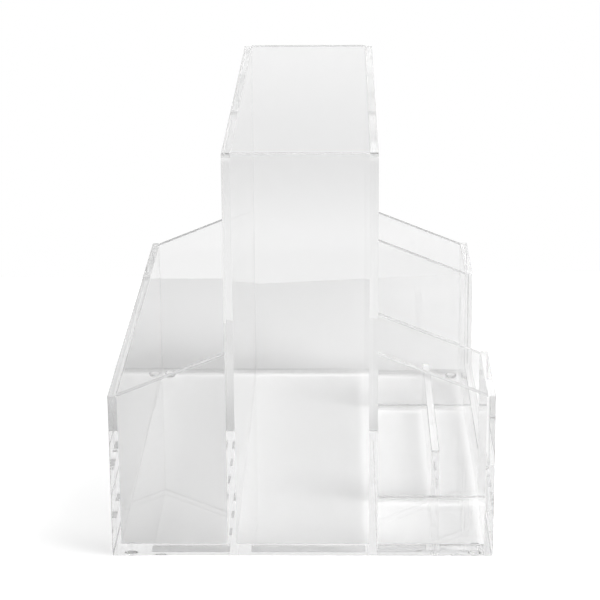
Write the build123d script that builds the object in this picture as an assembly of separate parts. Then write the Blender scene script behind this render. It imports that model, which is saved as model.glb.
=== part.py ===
"""Clear acrylic brush tower with side bins, cemented from flat sheets, on four bumper feet.

Every sheet is a solid of its own, cut square and cemented edge to face to its neighbours.
X runs across the object and Y along it, from the near end (-Y) to the far end (+Y). Z is up.
The origin is the middle of the footprint, on the surface that the feet stand on.
"""
from build123d import *
import os

# ---- Driving dimensions, mm ------------------------------------------------------------

# Footprint, over the outer faces of the walls
width = 178.0
length = 254.0

# Sheet thicknesses
wall_sheet = 4.0
base_sheet = 5.0

# Heights above the underside of the base plate
tower_height = 193.0
outer_wall_height = 79.5
shoulder_height = 99.5      # top of the sloping panels where they meet the tower
bay_wall_height = 29.0      # the low stretch of the right wall, and the bay's divider

# The brush tower, over its two side plates, which have rounded top corners
tower_width = 70.0
tower_corner_radius = 3.0

# The right-hand side is two closed cells with a low bay between them.
# A cell's length runs from the end of the object to the bay's side of its cross panel.
near_cell_length = 64.0
far_cell_length = 62.0
divider_channel = 27.2      # clear width from the tower to the bay's divider

# Bevel along the rims that are left free and polished
edge_break = 0.3

# Self-adhesive bumper feet
foot_diameter = 6.4
foot_height = 1.9
foot_rim_height = 0.5       # straight side next to the base plate
foot_flat_diameter = 3.0    # where the dome sits flat on the table
foot_inset_across = 8.4     # from the outer face of a side wall to a foot's centre
foot_inset_along = 6.0      # from an end of the object to a foot's centre

# ---- Places worked out from them -------------------------------------------------------

right_face = width / 2
left_face = -right_face
far_face = length / 2
near_face = -far_face
left_wall_inner = left_face + wall_sheet
right_wall_inner = right_face - wall_sheet

base_bottom = foot_height
floor = base_bottom + base_sheet
wall_top = base_bottom + outer_wall_height
shoulder_top = base_bottom + shoulder_height
tower_top = base_bottom + tower_height
bay_wall_top = base_bottom + bay_wall_height

tower_right_outer = tower_width / 2
tower_left_outer = -tower_right_outer
tower_right_inner = tower_right_outer - wall_sheet
tower_left_inner = -tower_right_inner

bay_near_end = near_face + near_cell_length
bay_far_end = far_face - far_cell_length
divider_left = tower_right_outer + divider_channel

# Where the sheet that closes each end of the object, and of the bay, starts along Y
end_panel_start = {"near": near_face, "far": far_face - wall_sheet}
cross_panel_start = {"near": bay_near_end - wall_sheet, "far": bay_far_end}


# ---- Forms -----------------------------------------------------------------------------

def rectangle(low, high, bottom, top):
    return [(low, bottom), (high, bottom), (high, top), (low, top)]


def sheet_along(outline, left):
    """A wall sheet along the object, from x = left on, cut to an outline of (y, z) points."""
    face = make_face(Plane.YZ.offset(left) * Polyline(*outline, close=True))
    return extrude(face, amount=wall_sheet, dir=(1, 0, 0))


def sheet_across(outline, near):
    """A wall sheet across the object, from y = near on, cut to an outline of (x, z) points."""
    face = make_face(Plane.XZ.offset(-near) * Polyline(*outline, close=True))
    return extrude(face, amount=wall_sheet, dir=(0, 1, 0))


def with_polished_top(sheet):
    """Break the two long edges of the sheet's top, level or sloping."""
    top = sheet.faces().sort_by(Axis.Z)[-1]
    rims = top.edges().sort_by(SortBy.LENGTH)[-2:]
    return chamfer(rims, length=edge_break)


def with_polished_outline(wall, outer_side):
    """Break an outer wall's free edges: all round its outer face, and its inner rims.

    The inner face stays square at the two ends and at the bottom, where the end panels and
    the base plate are cemented to it. outer_side is 1 on the right and -1 on the left.
    """
    outer_face, inner_face = wall.faces().filter_by(Axis.X).sort_by(Axis.X)[::-outer_side]
    inner_rims = [
        edge for edge in inner_face.edges()
        if near_face < edge.center().Y - edge_break
        and edge.center().Y + edge_break < far_face
        and edge.center().Z > floor
    ]
    return chamfer(list(outer_face.edges()) + inner_rims, length=edge_break)


# ---- The sheets ------------------------------------------------------------------------

def base_plate():
    """The floor of every bin, between the outer walls, its two bottom end edges polished."""
    plate = Pos(0, 0, base_bottom) * Box(
        right_wall_inner - left_wall_inner, length, base_sheet,
        align=(Align.CENTER, Align.CENTER, Align.MIN),
    )
    underside = plate.faces().sort_by(Axis.Z)[0]
    return chamfer(underside.edges().filter_by(Axis.X), length=edge_break)


def left_outer_wall():
    """A plain wall down to the underside of the base plate, along the whole left bin."""
    outline = rectangle(near_face, far_face, base_bottom, wall_top)
    return with_polished_outline(sheet_along(outline, left_face), -1)


def right_outer_wall():
    """One sheet with a wide notch cut down from its top, which opens the bay's side."""
    outline = [
        (near_face, base_bottom), (far_face, base_bottom), (far_face, wall_top),
        (bay_far_end, wall_top), (bay_far_end, bay_wall_top),
        (bay_near_end, bay_wall_top), (bay_near_end, wall_top), (near_face, wall_top),
    ]
    return with_polished_outline(sheet_along(outline, right_wall_inner), 1)


def tower_side(left):
    outline = rectangle(near_face, far_face, floor, tower_top)
    sheet = sheet_along(outline, left)
    top_corners = sheet.edges().filter_by(Axis.X).group_by(Axis.Z)[-1]
    return with_polished_top(sheet) & fillet(top_corners, radius=tower_corner_radius)


def tower_end(near):
    outline = rectangle(tower_left_inner, tower_right_inner, floor, tower_top)
    return with_polished_top(sheet_across(outline, near))


def sloping_panel(tower_side_x, wall_side_x, near):
    """A panel that closes a side bin and slopes from the tower down to the outer wall."""
    outline = [
        (tower_side_x, floor), (wall_side_x, floor),
        (wall_side_x, wall_top), (tower_side_x, shoulder_top),
    ]
    return with_polished_top(sheet_across(outline, near))


def bay_divider():
    outline = rectangle(bay_near_end, bay_far_end, floor, bay_wall_top)
    return with_polished_top(sheet_along(outline, divider_left))


def bumper_foot(x, y):
    """A domed bumper: its flat stands on the table, its adhesive face is on the base plate."""
    rim = foot_diameter / 2
    flat = foot_flat_diameter / 2
    dome_height = foot_height - foot_rim_height
    dome = EllipticalCenterArc(
        (flat, dome_height), rim - flat, dome_height, start_angle=270, arc_size=90,
    )
    straight_sides = Polyline(
        (rim, dome_height), (rim, foot_height), (0, foot_height), (0, 0), (flat, 0),
    )
    section = make_face(Plane.XZ * (dome + straight_sides))
    return Pos(x, y, 0) * revolve(section, axis=Axis.Z)


# ---- The assembly ----------------------------------------------------------------------

parts = {
    "base_plate": base_plate(),
    "left_outer_wall": left_outer_wall(),
    "right_outer_wall": right_outer_wall(),
    "tower_left_side": tower_side(tower_left_outer),
    "tower_right_side": tower_side(tower_right_inner),
    "bay_divider": bay_divider(),
}
for end, start in end_panel_start.items():
    parts[f"tower_{end}_end"] = tower_end(start)
    parts[f"left_bin_{end}_end"] = sloping_panel(tower_left_outer, left_wall_inner, start)
    parts[f"right_cell_{end}_end"] = sloping_panel(tower_right_outer, right_wall_inner, start)
for end, start in cross_panel_start.items():
    parts[f"bay_{end}_cross_panel"] = sloping_panel(tower_right_outer, right_wall_inner, start)

foot_x = {"left": left_face + foot_inset_across, "right": right_face - foot_inset_across}
foot_y = {"near": near_face + foot_inset_along, "far": far_face - foot_inset_along}
for end, y in foot_y.items():
    for side, x in foot_x.items():
        parts[f"foot_{end}_{side}"] = bumper_foot(x, y)

os.makedirs("parts", exist_ok=True)
for node, shape in parts.items():
    export_step(shape, f"parts/{node}.step")
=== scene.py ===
import bmesh
import bpy
import math
from mathutils import Matrix, Vector
from mathutils.bvhtree import BVHTree


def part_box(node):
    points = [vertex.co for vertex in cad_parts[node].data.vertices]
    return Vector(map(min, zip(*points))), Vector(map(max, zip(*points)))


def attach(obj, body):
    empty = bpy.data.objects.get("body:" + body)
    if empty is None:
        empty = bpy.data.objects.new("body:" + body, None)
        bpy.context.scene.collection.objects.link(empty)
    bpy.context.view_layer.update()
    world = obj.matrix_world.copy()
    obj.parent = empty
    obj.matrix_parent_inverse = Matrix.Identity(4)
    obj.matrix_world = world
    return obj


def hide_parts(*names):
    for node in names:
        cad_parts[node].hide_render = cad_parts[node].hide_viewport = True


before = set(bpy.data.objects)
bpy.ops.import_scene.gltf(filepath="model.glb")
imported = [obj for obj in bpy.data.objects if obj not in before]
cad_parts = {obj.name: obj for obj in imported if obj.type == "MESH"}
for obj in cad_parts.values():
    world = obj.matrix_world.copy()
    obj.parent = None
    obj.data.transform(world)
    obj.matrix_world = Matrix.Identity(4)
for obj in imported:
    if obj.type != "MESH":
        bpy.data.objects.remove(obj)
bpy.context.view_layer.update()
scene = bpy.context.scene

# ---- Real sizes, m ---------------------------------------------------------------------

TOUCHING = 1e-5                 # faces nearer than this are cemented together
MERGING = 1e-6                  # points nearer than this are one
OPPOSED = -0.999                # two normals look opposite ways when their product is under this
SQUARE_ON = 0.99                # a normal's share along an axis that it all but follows
EDGE_ON = 0.01                  # the same for an axis that it all but leaves alone

ACRYLIC_IOR = 1.49
EDGE_MARK_WIDTH = 0.0012        # polishing marks on the cut edges
EDGE_MARK_LENGTH = 0.045
EDGE_MARK_DEPTH = 0.000002
POLISHED = 0.02                 # roughness of an edge
BUFFED = 0.12
POLISHED_FROST = 0.04           # the share of an edge that is left matt
BUFFED_FROST = 0.45
BEVEL_SATIN = 0.35              # the share of a bevel that isn't clear

# A sheet's material slots
FACE, CEMENT, EDGE, BEVEL, CEMENT_LINE = range(5)

# ---- Stage and light, m, fitted to the photo's tones ------------------------------------

TABLE_TOP = -0.00005            # a hair under the feet, so that no two faces share a place
TABLE_OUTLINE = [               # its far edge as it shows behind the object
    (-1.5, -2.0), (1.5, -2.0), (1.5, 0.338), (0.095, 0.338),
    (-0.037, 0.3165), (-0.047, 0.327), (-1.5, 0.327),
]
# Painted light on the paper: lighter far off, and more so to the right than to the left
PAINTED_LIGHT_FAR = (0.13, 0.32)          # from Y to Y
PAINTED_LIGHT_RIGHT = (0.0, 0.09)         # from X to X
PAINTED_LIGHT_LEFT_SHARE = 0.4                      # how much of that the left side gets
# Painted shade on the paper: darker towards the near left corner, by the left wall
PAINTED_SHADE_NEAR = (0.05, -0.13)            # from Y to Y
PAINTED_SHADE_LEFT = (-0.045, -0.08)          # from X to X
PAPER_LIFT = 0.35               # what turns lit paper pure white for the camera
PAPER_LIFT_GROWS = (0.2, 0.6)   # up to 1 between these distances from the object

# The surroundings, by the Y or Z of the direction, as (from, to) and the strengths there
BEHIND = (-0.5, 0.5)
BEHIND_STRENGTH = (0.35, 1.0)
OVERHEAD = (0.34, 0.75)
OVERHEAD_STRENGTH = (1.0, 0.4)
BEND = (-0.27, -0.17)           # where the table's far edge meets the backdrop
BEND_SHADES = [(0.32, 0.79), (0.7, 0.95)]   # how far along it, and how bright

LAMP_AZIMUTH = -32              # degrees from +X
LAMP_ELEVATION = 61
LAMP_DISTANCE = 1.3
LAMP_SIZE = 0.5
LAMP_POWER = 16.5

PIPED_LIGHT = {"across": 1.3, "along": 0.65, "left_outer_wall": 0.3}    # W/m2 at a sheet's foot
PIPED_SPREAD = 0.001            # how far it spreads beyond the sheet's foot
PIPED_GAP = 0.0001              # how far below the sheet it starts

CAMERA_PLACE = (0.0194, -1.0744, 0.4257)
CAMERA_LENS = 132.19            # mm, on a sensor of 36 mm
CAMERA_TURN = 1.194             # degrees
CAMERA_TILT = 17.471
CAMERA_ROLL = -0.418

# ---- Helpers ---------------------------------------------------------------------------


def linear(hex_colour):
    """An sRGB hex colour as a linear RGBA tuple."""
    channels = [int(hex_colour[i:i + 2], 16) / 255 for i in (1, 3, 5)]
    return tuple(c / 12.92 if c <= 0.04045 else ((c + 0.055) / 1.055) ** 2.4 for c in channels) + (1.0,)


def add_node(tree, kind, settings=None, inputs=None):
    """One node, with its settings, and its inputs set or linked by name or number."""
    node = tree.nodes.new(kind)
    for name, value in (settings or {}).items():
        setattr(node, name, value)
    for name, value in (inputs or {}).items():
        if isinstance(value, bpy.types.NodeSocket):
            tree.links.new(value, node.inputs[name])
        else:
            node.inputs[name].default_value = value
    return node


def new_material(name):
    """A material with an empty node tree and its output node."""
    material = bpy.data.materials.new(name)
    material.use_nodes = True
    material.node_tree.nodes.clear()
    return material, material.node_tree, add_node(material.node_tree, "ShaderNodeOutputMaterial")


# ---- Materials -------------------------------------------------------------------------


def lit_through(tree, glass):
    """glass for what is seen; light that falls on things behind it goes straight on or is mirrored.

    A ray is mirrored or weakened on a sheet's first face for both faces at once.
    """
    light_path = add_node(tree, "ShaderNodeLightPath")
    surface = add_node(tree, "ShaderNodeNewGeometry")
    one_face = add_node(tree, "ShaderNodeFresnel", inputs={"IOR": ACRYLIC_IOR})
    twice = add_node(tree, "ShaderNodeMath", {"operation": "MULTIPLY"}, {0: one_face.outputs[0], 1: 2.0})
    and_one = add_node(tree, "ShaderNodeMath", {"operation": "ADD"}, {0: one_face.outputs[0], 1: 1.0})
    both_faces = add_node(tree, "ShaderNodeMath", {"operation": "DIVIDE"}, {
        0: twice.outputs[0], 1: and_one.outputs[0],
    })
    first_face = add_node(tree, "ShaderNodeMath", {"operation": "SUBTRACT"}, {
        0: 1.0, 1: surface.outputs["Backfacing"],
    })
    mirrored = add_node(tree, "ShaderNodeMath", {"operation": "MULTIPLY"}, {
        0: both_faces.outputs[0], 1: first_face.outputs[0],
    })
    passed = add_node(tree, "ShaderNodeMath", {"operation": "SUBTRACT"}, {0: 1.0, 1: mirrored.outputs[0]})
    clear = add_node(tree, "ShaderNodeBsdfTransparent", inputs={"Color": (1, 1, 1, 1)})
    mirror = add_node(tree, "ShaderNodeBsdfGlossy", inputs={"Color": (1, 1, 1, 1), "Roughness": 0.0})
    bounced = add_node(tree, "ShaderNodeMixShader", inputs={
        0: mirrored.outputs[0], 1: clear.outputs[0], 2: mirror.outputs[0],
    })
    shade = add_node(tree, "ShaderNodeBsdfTransparent", inputs={"Color": passed.outputs[0]})
    seen_or_bounced = add_node(tree, "ShaderNodeMixShader", inputs={
        0: light_path.outputs["Is Diffuse Ray"], 1: glass.outputs[0], 2: bounced.outputs[0],
    })
    return add_node(tree, "ShaderNodeMixShader", inputs={
        0: light_path.outputs["Is Shadow Ray"], 1: seen_or_bounced.outputs[0], 2: shade.outputs[0],
    })


def cast_acrylic():
    """Polished sheet: clear as glass, it shows by reflections and a faint grey where sheets overlap."""
    material, tree, output = new_material("clear_cast_acrylic")
    acrylic = add_node(tree, "ShaderNodeBsdfPrincipled", inputs={
        "Base Color": linear("#FAFAFA"), "Transmission Weight": 1.0, "IOR": ACRYLIC_IOR, "Roughness": 0.0,
    })
    surface = lit_through(tree, acrylic)
    tree.links.new(surface.outputs[0], output.inputs["Surface"])
    return material


def cut_edge(name, fine_axis, roughness, frost):
    """A sawn and polished edge: clear, a little darker, with faint marks that run along it.

    frost is the share of it that buffing has left matt: a thin grey line where a rim is seen edge on.
    """
    material, tree, output = new_material(name)
    place = add_node(tree, "ShaderNodeTexCoord")
    scale = [1 / EDGE_MARK_LENGTH] * 3
    scale["xyz".index(fine_axis)] = 1 / EDGE_MARK_WIDTH
    along = add_node(tree, "ShaderNodeMapping", inputs={0: place.outputs["Object"], "Scale": scale})
    marks = add_node(tree, "ShaderNodeTexNoise", inputs={
        "Vector": along.outputs[0], "Scale": 1.0, "Detail": 1.0, "Roughness": 0.5,
    })
    bump = add_node(tree, "ShaderNodeBump", inputs={
        "Height": marks.outputs["Fac"], "Strength": 1.0, "Distance": EDGE_MARK_DEPTH,
    })
    acrylic = add_node(tree, "ShaderNodeBsdfPrincipled", inputs={
        "Base Color": linear("#F6F6F6"), "Transmission Weight": 1.0, "IOR": ACRYLIC_IOR,
        "Roughness": roughness, "Normal": bump.outputs[0],
    })
    matt = add_node(tree, "ShaderNodeBsdfDiffuse", inputs={"Color": linear("#C4C4C4")})
    buffed = add_node(tree, "ShaderNodeMixShader", inputs={
        0: frost, 1: acrylic.outputs[0], 2: matt.outputs[0],
    })
    surface = lit_through(tree, buffed)
    tree.links.new(surface.outputs[0], output.inputs["Surface"])
    return material


def scraped_bevel():
    """The fine bevel along a rim, scraped by hand: satin, half clear, so it takes up some light."""
    material, tree, output = new_material("scraped_acrylic_bevel")
    clear = add_node(tree, "ShaderNodeBsdfTransparent", inputs={"Color": (1, 1, 1, 1)})
    satin = add_node(tree, "ShaderNodeBsdfDiffuse", inputs={"Color": linear("#B4B4B4")})
    mix = add_node(tree, "ShaderNodeMixShader", inputs={
        0: BEVEL_SATIN, 1: clear.outputs[0], 2: satin.outputs[0],
    })
    tree.links.new(mix.outputs[0], output.inputs["Surface"])
    return material


def cemented_joint(name, colour):
    """Solvent cement fills the joint, so the sheets are one there, at most with a grey line."""
    material, tree, output = new_material(name)
    clear = add_node(tree, "ShaderNodeBsdfTransparent", inputs={"Color": linear(colour)})
    tree.links.new(clear.outputs[0], output.inputs["Surface"])
    return material


def bumper_rubber():
    """Soft clear rubber, greyer and less sharp than the sheets: a small dull lens under a corner."""
    material, tree, output = new_material("clear_polyurethane")
    rubber = add_node(tree, "ShaderNodeBsdfPrincipled", inputs={
        "Base Color": linear("#DCDCDC"), "Transmission Weight": 1.0, "IOR": ACRYLIC_IOR, "Roughness": 0.1,
    })
    surface = lit_through(tree, rubber)
    tree.links.new(surface.outputs[0], output.inputs["Surface"])
    return material


# ---- The sheets ------------------------------------------------------------------------


def clean_copy(node):
    """The node's mesh as a bmesh with its doubles merged and its flat faces whole."""
    mesh = bmesh.new()
    mesh.from_mesh(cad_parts[node].data)
    bmesh.ops.remove_doubles(mesh, verts=mesh.verts, dist=MERGING)
    bmesh.ops.dissolve_limit(mesh, angle_limit=math.radians(1), verts=mesh.verts, edges=mesh.edges)
    bmesh.ops.recalc_face_normals(mesh, faces=mesh.faces)
    return mesh


def faces_against(mesh, other_face):
    """The faces of mesh that lie in other_face's plane and look the other way."""
    return [
        face for face in mesh.faces
        if face.normal.dot(other_face.normal) < OPPOSED
        and abs((face.calc_center_median() - other_face.verts[0].co).dot(other_face.normal)) < TOUCHING
    ]


def box_of(verts):
    """The lowest and highest corner of the verts' box."""
    return [[pick(vert.co[i] for vert in verts) for i in range(3)] for pick in (min, max)]


def overlap(a, b):
    """Whether two boxes share more than an edge, along each axis in which they have a size."""
    (a_low, a_high), (b_low, b_high) = a, b
    return all(
        a_low[i] + TOUCHING < b_high[i] and b_low[i] + TOUCHING < a_high[i]
        or a_high[i] - a_low[i] < TOUCHING and b_low[i] - TOUCHING < a_low[i] < b_high[i] + TOUCHING
        for i in range(3)
    )


def cut(mesh, faces, place, across):
    """Cuts only these faces, along the plane through place that looks across."""
    geometry = set(faces)
    for face in faces:
        geometry.update(face.edges)
        geometry.update(face.verts)
    bmesh.ops.bisect_plane(mesh, geom=list(geometry), dist=MERGING, plane_co=place, plane_no=across)


def imprint(mesh, neighbour):
    """Cuts mesh's faces along the outline of each face of neighbour that touches them.

    The box of that face is cut first, so that a round outline doesn't cut the whole sheet up.
    """
    for other_face in neighbour.faces:
        if not faces_against(mesh, other_face):
            continue
        low, high = box_of(other_face.verts)
        sides = [(Vector(corner), axis) for corner in (low, high) for axis in range(3)]
        lines = []
        for place, axis in sides:
            normal = Vector([float(i == axis) for i in range(3)])
            if abs(normal.dot(other_face.normal)) < 0.5:
                lines.append((place, normal))
        for edge in other_face.edges:
            start, end = (vert.co for vert in edge.verts)
            lines.append((start, (end - start).cross(other_face.normal).normalized()))
        for place, across in lines:
            touched = [
                face for face in faces_against(mesh, other_face)
                if overlap(box_of(face.verts), (low, high))
            ]
            if touched:
                cut(mesh, touched, place, across)


def cemented_faces(mesh, neighbour):
    """The faces of mesh whose middle touches a face of neighbour."""
    tree = BVHTree.FromBMesh(neighbour)
    found = []
    for face in mesh.faces:
        middle = face.calc_center_median()
        _, normal, _, distance = tree.find_nearest(middle)
        if distance is not None and distance < TOUCHING and normal.dot(face.normal) < OPPOSED:
            found.append(face)
    return found


def boxes_touch(a, b):
    (a_low, a_high), (b_low, b_high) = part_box(a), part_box(b)
    return all(a_low[i] - TOUCHING < b_high[i] and b_low[i] - TOUCHING < a_high[i] for i in range(3))


def thin_axis(node):
    """0, 1 or 2 for the axis across a sheet's thickness."""
    low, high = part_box(node)
    return min(range(3), key=lambda axis: high[axis] - low[axis])


def stand_in(node, mesh, name, materials):
    """Makes the bmesh a piece that is shown instead of the node."""
    data = bpy.data.meshes.new(name)
    mesh.to_mesh(data)
    mesh.free()
    for material in materials:
        data.materials.append(material)
    piece = bpy.data.objects.new(name, data)
    scene.collection.objects.link(piece)
    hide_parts(node)
    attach(piece, "root")


def make_feet(foot_nodes, rubber, cement):
    """Smooth domes whose flat top is stuck to the base plate with no air between."""
    for node in foot_nodes:
        mesh = clean_copy(node)
        for face in mesh.faces:
            stuck = face.normal.z > SQUARE_ON
            face.material_index = 1 if stuck else 0
            face.smooth = not stuck
        stand_in(node, mesh, node + "_bumper", [rubber, cement])


def make_sheets(sheet_nodes, foot_nodes, acrylic, cement, edges, bevel, cement_line):
    """Each sheet with its edges, bevels and cemented joints told apart.

    Cement shows as a grey line only under the sheets across the object, seen edge on.
    """
    clean = {node: clean_copy(node) for node in sheet_nodes + foot_nodes}
    for node in sheet_nodes:
        mesh = clean[node].copy()
        neighbours = [other for other in clean if other != node and boxes_touch(node, other)]
        for other in neighbours:
            imprint(mesh, clean[other])
        axis = thin_axis(node)
        for face in mesh.faces:
            squareness = abs(face.normal[axis])
            face.material_index = FACE if squareness > SQUARE_ON else EDGE if squareness < EDGE_ON else BEVEL
        for other in neighbours:
            for face in cemented_faces(mesh, clean[other]):
                foot_of_across = axis == 1 and face.normal.z < -SQUARE_ON
                face.material_index = CEMENT_LINE if foot_of_across else CEMENT
        materials = [acrylic, cement, edges[axis], bevel, cement_line]
        stand_in(node, mesh, node + "_sheet", materials)


# ---- Stage, light and camera -----------------------------------------------------------


def make_stage():
    """White paper that keeps a faint shadow, with painted light (lighter far off) and painted shade (darker
    near the left wall).
    """
    material, tree, output = new_material("table_paper")
    light_path = add_node(tree, "ShaderNodeLightPath")
    place = add_node(tree, "ShaderNodeTexCoord")
    parts = add_node(tree, "ShaderNodeSeparateXYZ", inputs={0: place.outputs["Object"]})
    # painted light: the paper lighter far off, and more so to the right
    far = add_node(tree, "ShaderNodeMapRange", {"interpolation_type": "SMOOTHSTEP"}, {
        "Value": parts.outputs["Y"],
        "From Min": PAINTED_LIGHT_FAR[0], "From Max": PAINTED_LIGHT_FAR[1],
    })
    right = add_node(tree, "ShaderNodeMapRange", {"interpolation_type": "SMOOTHSTEP"}, {
        "Value": parts.outputs["X"],
        "From Min": PAINTED_LIGHT_RIGHT[0], "From Max": PAINTED_LIGHT_RIGHT[1],
        "To Min": PAINTED_LIGHT_LEFT_SHARE, "To Max": 1.0,
    })
    painted_light_mask = add_node(tree, "ShaderNodeMath", {"operation": "MULTIPLY"}, {
        0: far.outputs[0], 1: right.outputs[0],
    })
    # painted shade: the paper darker towards the near left corner
    near = add_node(tree, "ShaderNodeMapRange", {"interpolation_type": "SMOOTHSTEP"}, {
        "Value": parts.outputs["Y"],
        "From Min": PAINTED_SHADE_NEAR[0], "From Max": PAINTED_SHADE_NEAR[1],
    })
    left = add_node(tree, "ShaderNodeMapRange", {"interpolation_type": "SMOOTHSTEP"}, {
        "Value": parts.outputs["X"],
        "From Min": PAINTED_SHADE_LEFT[0], "From Max": PAINTED_SHADE_LEFT[1],
    })
    painted_shade_mask = add_node(tree, "ShaderNodeMath", {"operation": "MULTIPLY"}, {
        0: near.outputs[0], 1: left.outputs[0],
    })
    # painted shade: #D4D4D4 is the painted shade near the left wall, #E5E5E5 the plain paper
    paper_under_painted_shade = add_node(tree, "ShaderNodeMix", {"data_type": "RGBA"}, {
        "Factor": painted_shade_mask.outputs[0], 6: linear("#E5E5E5"), 7: linear("#D4D4D4"),
    })
    # painted light: #F4F4F4 is the paper's painted light far off
    colour = add_node(tree, "ShaderNodeMix", {"data_type": "RGBA"}, {
        "Factor": painted_light_mask.outputs[0], 6: paper_under_painted_shade.outputs[2], 7: linear("#F4F4F4"),
    })
    paper = add_node(tree, "ShaderNodeBsdfDiffuse", inputs={"Color": colour.outputs[2]})
    distance = add_node(tree, "ShaderNodeVectorMath", {"operation": "LENGTH"}, {0: place.outputs["Object"]})
    lift = add_node(tree, "ShaderNodeMapRange", {"interpolation_type": "SMOOTHSTEP"}, {
        "Value": distance.outputs["Value"],
        "From Min": PAPER_LIFT_GROWS[0], "From Max": PAPER_LIFT_GROWS[1],
        "To Min": PAPER_LIFT, "To Max": 1.0,
    })
    white = add_node(tree, "ShaderNodeEmission", inputs={
        "Color": (1, 1, 1, 1), "Strength": lift.outputs[0],
    })
    lifted = add_node(tree, "ShaderNodeAddShader", inputs={0: paper.outputs[0], 1: white.outputs[0]})
    mix = add_node(tree, "ShaderNodeMixShader", inputs={
        0: light_path.outputs["Is Camera Ray"], 1: paper.outputs[0], 2: lifted.outputs[0],
    })
    tree.links.new(mix.outputs[0], output.inputs["Surface"])
    mesh = bmesh.new()
    mesh.faces.new([mesh.verts.new((x, y, TABLE_TOP)) for x, y in TABLE_OUTLINE])
    data = bpy.data.meshes.new("table_top")
    mesh.to_mesh(data)
    mesh.free()
    data.materials.append(material)
    table = bpy.data.objects.new("table_top", data)
    scene.collection.objects.link(table)


def make_world():
    """A white studio, dim on the camera's side and overhead, and pure white where nothing is in the way."""
    world = bpy.data.worlds.new("studio")
    scene.world = world
    world.use_nodes = True
    tree = world.node_tree
    tree.nodes.clear()
    output = add_node(tree, "ShaderNodeOutputWorld")
    light_path = add_node(tree, "ShaderNodeLightPath")
    direction = add_node(tree, "ShaderNodeTexCoord")
    parts = add_node(tree, "ShaderNodeSeparateXYZ", inputs={0: direction.outputs["Generated"]})
    behind = add_node(tree, "ShaderNodeMapRange", {"interpolation_type": "SMOOTHSTEP"}, {
        "Value": parts.outputs["Y"], "From Min": BEHIND[0], "From Max": BEHIND[1],
        "To Min": BEHIND_STRENGTH[0], "To Max": BEHIND_STRENGTH[1],
    })
    overhead = add_node(tree, "ShaderNodeMapRange", {"interpolation_type": "SMOOTHSTEP"}, {
        "Value": parts.outputs["Z"], "From Min": OVERHEAD[0], "From Max": OVERHEAD[1],
        "To Min": OVERHEAD_STRENGTH[0], "To Max": OVERHEAD_STRENGTH[1],
    })
    depth = add_node(tree, "ShaderNodeMath", {"operation": "MULTIPLY"}, {
        0: behind.outputs[0], 1: overhead.outputs[0],
    })
    across_bend = add_node(tree, "ShaderNodeMapRange", inputs={
        "Value": parts.outputs["Z"], "From Min": BEND[0], "From Max": BEND[1],
    })
    bend = add_node(tree, "ShaderNodeValToRGB", inputs={"Fac": across_bend.outputs[0]})
    ramp = bend.color_ramp
    ramp.interpolation = "B_SPLINE"
    ramp.elements[0].color = (1, 1, 1, 1)
    ramp.elements[1].color = (1, 1, 1, 1)
    for position, grey in BEND_SHADES:
        ramp.elements.new(position).color = (grey, grey, grey, 1)
    studio = add_node(tree, "ShaderNodeBackground", inputs={0: bend.outputs[0], 1: depth.outputs[0]})
    white = add_node(tree, "ShaderNodeBackground", inputs={0: (1, 1, 1, 1), 1: 1.0})
    mix = add_node(tree, "ShaderNodeMixShader", inputs={
        0: light_path.outputs["Is Camera Ray"], 1: studio.outputs[0], 2: white.outputs[0],
    })
    tree.links.new(mix.outputs[0], output.inputs["Surface"])


def make_lamp():
    """A soft box overhead, to the right and in front."""
    lamp = bpy.data.lights.new("soft_box", "AREA")
    lamp.shape = "SQUARE"
    lamp.size = LAMP_SIZE
    lamp.energy = LAMP_POWER
    holder = bpy.data.objects.new("soft_box", lamp)
    scene.collection.objects.link(holder)
    turn = (Matrix.Rotation(math.radians(LAMP_AZIMUTH), 4, "Z")
            @ Matrix.Rotation(math.radians(90 - LAMP_ELEVATION), 4, "Y"))
    holder.matrix_world = turn @ Matrix.Translation((0, 0, LAMP_DISTANCE))


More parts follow.
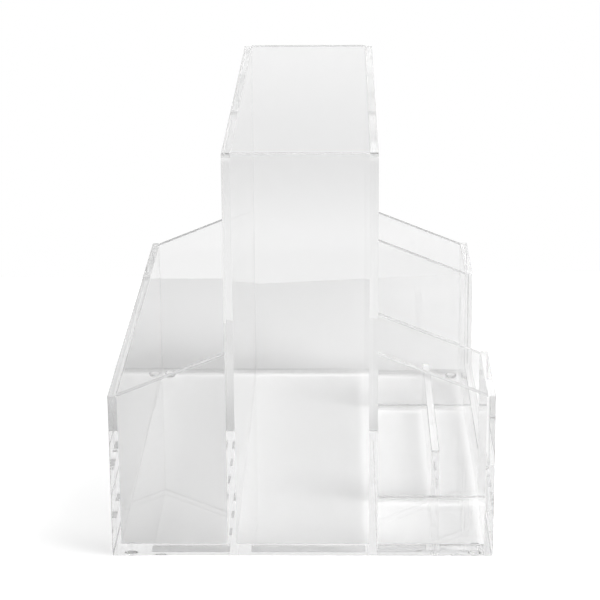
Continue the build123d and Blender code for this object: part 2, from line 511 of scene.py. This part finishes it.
def pipe_light(sheet_nodes):
    """Lamps for the light that a sheet's rim takes in and its foot gives out, which renders of glass lose."""
    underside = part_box("base_plate")[0][2]
    for node in sheet_nodes:
        if node == "base_plate":
            continue
        low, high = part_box(node)
        lamp = bpy.data.lights.new(node + "_foot_glow", "AREA")
        lamp.shape = "RECTANGLE"
        lamp.size = high[0] - low[0] + 2 * PIPED_SPREAD
        lamp.size_y = high[1] - low[1] + 2 * PIPED_SPREAD
        way = "along" if thin_axis(node) == 0 else "across"
        lamp.energy = PIPED_LIGHT.get(node, PIPED_LIGHT[way]) * lamp.size * lamp.size_y
        holder = bpy.data.objects.new(node + "_foot_glow", lamp)
        scene.collection.objects.link(holder)
        middle = ((low[0] + high[0]) / 2, (low[1] + high[1]) / 2, underside - PIPED_GAP)
        holder.matrix_world = Matrix.Translation(middle)
        holder.visible_camera = False
        holder.visible_glossy = False
        holder.visible_transmission = False


def make_camera():
    camera = bpy.data.cameras.new("camera")
    camera.sensor_width = 36.0
    camera.lens = CAMERA_LENS
    camera.clip_end = 20
    holder = bpy.data.objects.new("camera", camera)
    scene.collection.objects.link(holder)
    turn = (Matrix.Rotation(math.radians(CAMERA_TURN), 4, "Z")
            @ Matrix.Rotation(math.radians(90 - CAMERA_TILT), 4, "X")
            @ Matrix.Rotation(math.radians(CAMERA_ROLL), 4, "Z"))
    holder.matrix_world = Matrix.Translation(CAMERA_PLACE) @ turn
    scene.camera = holder


def light_paths():
    """Light that runs along inside a sheet turns back at its faces many times."""
    cycles = scene.cycles
    cycles.max_bounces = 48
    cycles.glossy_bounces = 48
    cycles.transmission_bounces = 48
    cycles.transparent_max_bounces = 64
    cycles.caustics_reflective = True
    cycles.caustics_refractive = False


acrylic = cast_acrylic()
cement = cemented_joint("acrylic_cement", "#FFFFFF")
cement_line = cemented_joint("acrylic_cement_line", "#E6E6E6")
feet = sorted(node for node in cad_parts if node.startswith("foot_"))
sheets = sorted(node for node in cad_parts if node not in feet)
edges = [
    cut_edge("polished_acrylic_edge", "x", POLISHED, POLISHED_FROST),
    cut_edge("buffed_acrylic_edge", "y", BUFFED, BUFFED_FROST),
    cut_edge("polished_plate_edge", "z", POLISHED, POLISHED_FROST),
]
make_sheets(sheets, feet, acrylic, cement, edges, scraped_bevel(), cement_line)
make_feet(feet, bumper_rubber(), cement)
make_stage()
make_world()
make_lamp()
pipe_light(sheets)
make_camera()
light_paths()
scene.view_settings.view_transform = "Standard"
